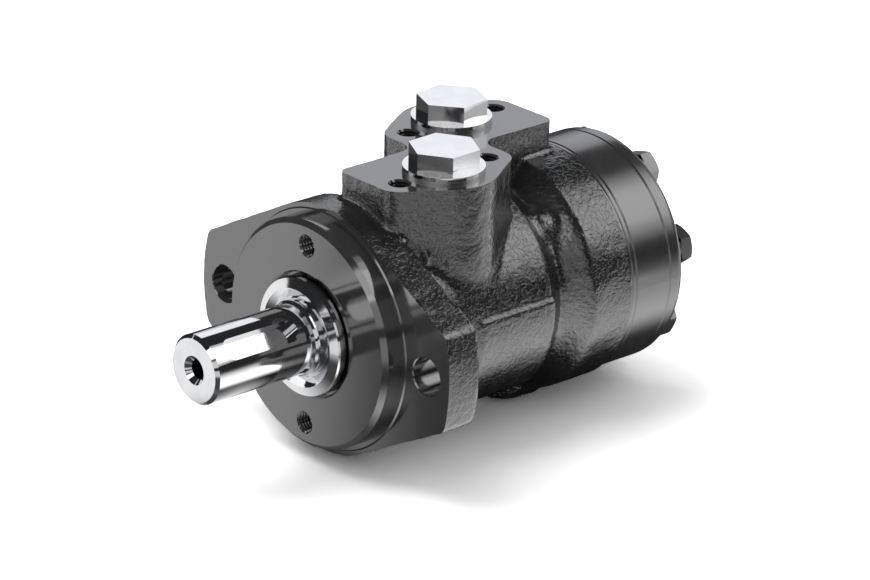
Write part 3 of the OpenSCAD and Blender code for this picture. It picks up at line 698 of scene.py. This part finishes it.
body = casting_blank(CASTING_STEP)
weld(body, 1e-6)
machine(body)
shade(body, 30)
body_slots(body, cast_paint(), machined_paint("machined_paint", 0.1))
body.name = "motor_body"
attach(body, "body")
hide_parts("housing")

FINISHES = (
    (machined_paint("ring_paint", 0.2), ("spacer_plate", "gear_ring", "end_cover")),
    (steel("chrome", (0.72, 0.725, 0.74), 0.07), ("output_shaft", "dust_cap")),
    (steel("bright_zinc", (0.74, 0.745, 0.755), 0.1),
     ("port_plug_front", "port_plug_rear", "drain_plug")),
    (steel("dark_zinc", (0.2, 0.2, 0.205), 0.34), ("end_cover_screws", "screw_washers")),
    (steel("ground_steel", (0.55, 0.56, 0.58), 0.25),
     ("seal_backup_ring", "thrust_washer_front", "thrust_needles", "thrust_washer_rear",
      "cardan_shaft", "rotor", "cardan_spacer", "check_ball_left", "check_ball_right")),
    (steel("washer_metal", (0.7, 0.71, 0.73), 0.3), ("plug_seal_front", "plug_seal_rear")),
    (steel("copper", (0.75, 0.38, 0.22), 0.28), ("drain_seal",)),
    (steel("cage_brass", (0.72, 0.52, 0.22), 0.28), ("thrust_cage",)),
    (rubber(), ("dust_seal", "shaft_seal", "o_ring_body", "o_ring_gear", "o_ring_cover")))
for finish, nodes in FINISHES:
    for node in nodes:
        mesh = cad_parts[node].data
        mesh.materials.clear()
        mesh.materials.append(finish)


# Studio

AZIMUTH, ELEVATION, ROLL = 47.743, 22.253, 1.320
DISTANCE = 1656.7
AIM_ACROSS, AIM_UP = 36.996, 13.486
FOCAL_PX = 4817.5
WIDTH_PX, HEIGHT_PX = 870, 580
CENTRE_PX = (430.91, 290.08)

FLOOR_LEVEL = -47.0
FLOOR_HALF = 14000.0
WORLD_EVEN, WORLD_MIRRORED = 0.45, 0.025

# The lamps, in metres. Each box has a gap of its own, because boxes in one plane hide each other
# in reflections. One behind the other, they add up.
MOTOR_MIDDLE = (0.0, 0.05, 0.0)
REAR_RIGHT_BOXES = ((1.0, 1.4, 0.55), (1.02, 1.08, 0.65), (1.04, 0.72, 0.75))  # gap, across, glow
REAR_LEFT_BOXES = ((1.0, 150, 0.77, 0.65), (1.02, 144, 0.54, 0.42))  # gap, angle, across, glow
CARDS = (  # name, place, width, height, glow
    ("front_card", (0.35, -0.95, 0.7), 0.6, 0.4, 1.6),
    ("rear_card", (-0.1, 1.4, 0.5), 1.4, 0.5, 0.9),
    ("low_front_card", (0.0, -1.2, 0.35), 0.9, 0.3, 0.6),
    ("front_right_card", (0.85, -0.85, 0.4), 0.7, 0.5, 0.7),
    ("left_card", (-0.85, -0.7, 0.45), 0.6, 0.4, 1.25))


def facing(at, side, up, back):
    """The matrix of something at a point with these X, Y and Z axes."""
    turn = Matrix(np.stack([side, up, back], 1).tolist()).to_4x4()
    return Matrix.Translation(at.tolist()) @ turn


def studio_camera():
    """The camera that was fitted to the photograph."""
    a, e, r = (math.radians(v) for v in (AZIMUTH, ELEVATION, ROLL))
    back = np.array([math.sin(a) * math.cos(e), -math.cos(a) * math.cos(e), math.sin(e)])
    level = np.array([math.cos(a), math.sin(a), 0.0])
    up = np.cross(back, level)
    across = level * math.cos(r) + up * math.sin(r)
    up = -level * math.sin(r) + up * math.cos(r)
    data = bpy.data.cameras.new("photo_camera")
    data.sensor_width = 36.0
    data.lens = FOCAL_PX * data.sensor_width / WIDTH_PX
    data.shift_x = (WIDTH_PX / 2 - CENTRE_PX[0]) / WIDTH_PX
    data.shift_y = (CENTRE_PX[1] - HEIGHT_PX / 2) / WIDTH_PX
    data.clip_start = 0.05
    data.clip_end = 60
    camera = bpy.data.objects.new("photo_camera", data)
    bpy.context.scene.collection.objects.link(camera)
    at = (back * DISTANCE + across * AIM_ACROSS + up * AIM_UP) * MM
    camera.matrix_world = facing(at, across, up, back)
    bpy.context.scene.camera = camera


def softbox(name, at, aim, width, height, glow, tint=(1, 1, 1), mirrored=True, lights=True):
    """A rectangular area lamp at one point that faces another. Its face shines with the radiance
    glow, where 1 is white. It can be left out of reflections, or light nothing matte."""
    data = bpy.data.lights.new(name, "AREA")
    data.shape = "RECTANGLE"
    data.size = width
    data.size_y = height
    data.color = tint
    data.energy = math.pi * glow * width * height
    lamp = bpy.data.objects.new(name, data)
    lamp.visible_glossy = mirrored
    lamp.visible_diffuse = lights
    bpy.context.scene.collection.objects.link(lamp)
    at = np.array(at, float)
    back = at - np.array(aim, float)
    back /= np.linalg.norm(back)
    side = np.cross((0, 0, 1), back)
    side /= np.linalg.norm(side)
    lamp.matrix_world = facing(at, side, np.cross(back, side), back)


def strip_box(name, angle, station, gap, along, across, glow, **more):
    """A softbox for reflections only, with two edges parallel to the shaft: the angle round the
    shaft, the station of its middle and its gap from the shaft place it."""
    t = math.radians(angle)
    softbox(name, (gap * math.cos(t), station, gap * math.sin(t)), (0, station, 0),
            along, across, glow, lights=False, **more)


def painted_floor_glow(f):
    """Masks of painted glow on the floor that glossy rays see, from its Object coordinates: first
    the bright area right of the motor, then all the others. Each is 1 inside and 0 outside, with a
    soft edge. The glow stands in for lit floor in the motor's reflections. Where the masks leave
    the floor dark close to the motor, that is painted shadow."""
    at = f.node("ShaderNodeSeparateXYZ", {}, {"Vector": f.place()})
    x, y = (Wire(f, at.socket.node.outputs[axis]) for axis in "XY")
    near_side = x * 0.61 - y * 0.69  # grows towards the camera

    def disc(centre_x, centre_y, inner, outer):
        return 1.0 - ((x - centre_x) ** 2.0 + (y - centre_y) ** 2.0).between(inner ** 2, outer ** 2)

    # painted glow right of the barrel, from the flange to the rear, weaker farther out; under and
    # close to the barrel it stays dark as painted shadow
    edge = y.between(0.0, 0.06) * 0.008
    fade = ((x - 0.07).math("MAXIMUM", 0.0) * -8.0).math("EXPONENT")
    rear = y.between(-0.06, -0.02) * (x - edge).between(0.03, 0.055) * fade
    # a strip along the barrel's left side
    left = y.between(-0.05, -0.02) * (1.0 - x.between(-0.045, -0.025)) * x.between(-0.16, -0.1)
    # in front of the flange and well to the right
    right = (1.0 - y.between(-0.06, -0.02)) * x.between(0.1, 0.17) * 0.65
    # in front of the flange, on the side away from the camera; nearer the camera it stays dark as
    # painted shadow of the shaft and flange
    front = (1.0 - y.between(-0.02, 0.0)) * (1.0 - near_side.between(-0.005, 0.04))
    # left of the shaft, on the camera's side
    far = near_side.between(0.06, 0.09) * (1.0 - x.between(0.0, 0.04)) * 0.8
    # two round areas, before the left ear and behind the end cover
    spot = disc(-0.088, -0.134, 0.025, 0.05)
    pool = disc(0.198, 0.226, 0.016, 0.036)
    others = front
    for area in (left, spot, right, pool, far):
        others = others.math("MAXIMUM", area)
    return rear, others


def by_ray(f, camera, glossy, rest):
    """One shader for rays from the camera, one for glossy rays and one for all others."""
    is_camera = f.node("ShaderNodeLightPath", out="Is Camera Ray")
    is_glossy = f.node("ShaderNodeLightPath", out="Is Glossy Ray")
    rest = f.node("ShaderNodeMixShader", {}, [is_glossy, rest, glossy])
    return f.node("ShaderNodeMixShader", {}, [is_camera, rest, camera])


def studio_floor():
    """A large pale floor. The camera sees it as white where no shadow lies. Glossy rays see it
    dark, with areas of painted glow: an emission that stands in for lit floor in reflections."""
    low, high = -FLOOR_HALF, FLOOR_HALF
    corners = ((low, low), (high, low), (high, high), (low, high))
    floor = mesh_object("studio_floor", [(x, y, FLOOR_LEVEL) for x, y in corners], [(0, 1, 2, 3)])
    f = Finish("floor_white")

    def diffuse(color):
        return f.node("ShaderNodeBsdfDiffuse", {}, {"Color": color})

    def added(a, b):
        return f.node("ShaderNodeAddShader", {}, [a, b])

    # painted glow: an emission over one area of the floor
    def painted_glow(area, strength):
        tone = f.mix(area, rgb(0, 0, 0), rgb(1, 1, 1))
        return f.node("ShaderNodeEmission", {}, {"Color": tone, "Strength": strength})

    rear, others = painted_floor_glow(f)
    matte = diffuse(rgb(0.86, 0.86, 0.87))
    seen = added(matte, diffuse(rgb(1.25, 1.25, 1.25)))
    # what glossy rays see: painted glow over its areas, above a faint matte floor
    mirrored = added(added(painted_glow(rear, 1.7), painted_glow(others, 0.97)), diffuse(rgb(0.08, 0.08, 0.08)))
    f.output(by_ray(f, seen, mirrored, matte))
    floor.data.materials.append(f.material)


def studio_world():
    """White to the camera, dark in reflections, and a plain even light on everything else."""
    world = bpy.data.worlds.new("studio")
    world.use_nodes = True
    bpy.context.scene.world = world
    f = Finish("world", world.node_tree)

    def sky(color, strength):
        return f.node("ShaderNodeBackground", {}, {"Color": color, "Strength": strength})

    white = sky(rgb(1, 1, 1), 1.0)
    even = sky(rgb(1, 1, 1), WORLD_EVEN)
    dark = sky(rgb(0.95, 0.97, 1), WORLD_MIRRORED)
    f.output(by_ray(f, white, dark, even), "ShaderNodeOutputWorld")


studio_camera()
studio_floor()
studio_world()
for gap, across, glow in REAR_RIGHT_BOXES:
    strip_box("rear_right_box", 52, 1.1, gap, 1.25, across, glow)
for gap, angle, across, glow in REAR_LEFT_BOXES:
    strip_box("rear_left_box", angle, 0.9, gap, 0.75, across, glow, tint=(0.97, 0.985, 1.04))
for name, at, width, height, glow in CARDS:
    softbox(name, at, MOTOR_MIDDLE, width, height, glow, lights=False)
softbox("room_light", (-0.5, -0.3, 1.3), MOTOR_MIDDLE, 1.1, 1.1, 2.8, mirrored=False)

scene = bpy.context.scene
scene.view_settings.view_transform = "Standard"
bpy.context.view_layer.update()
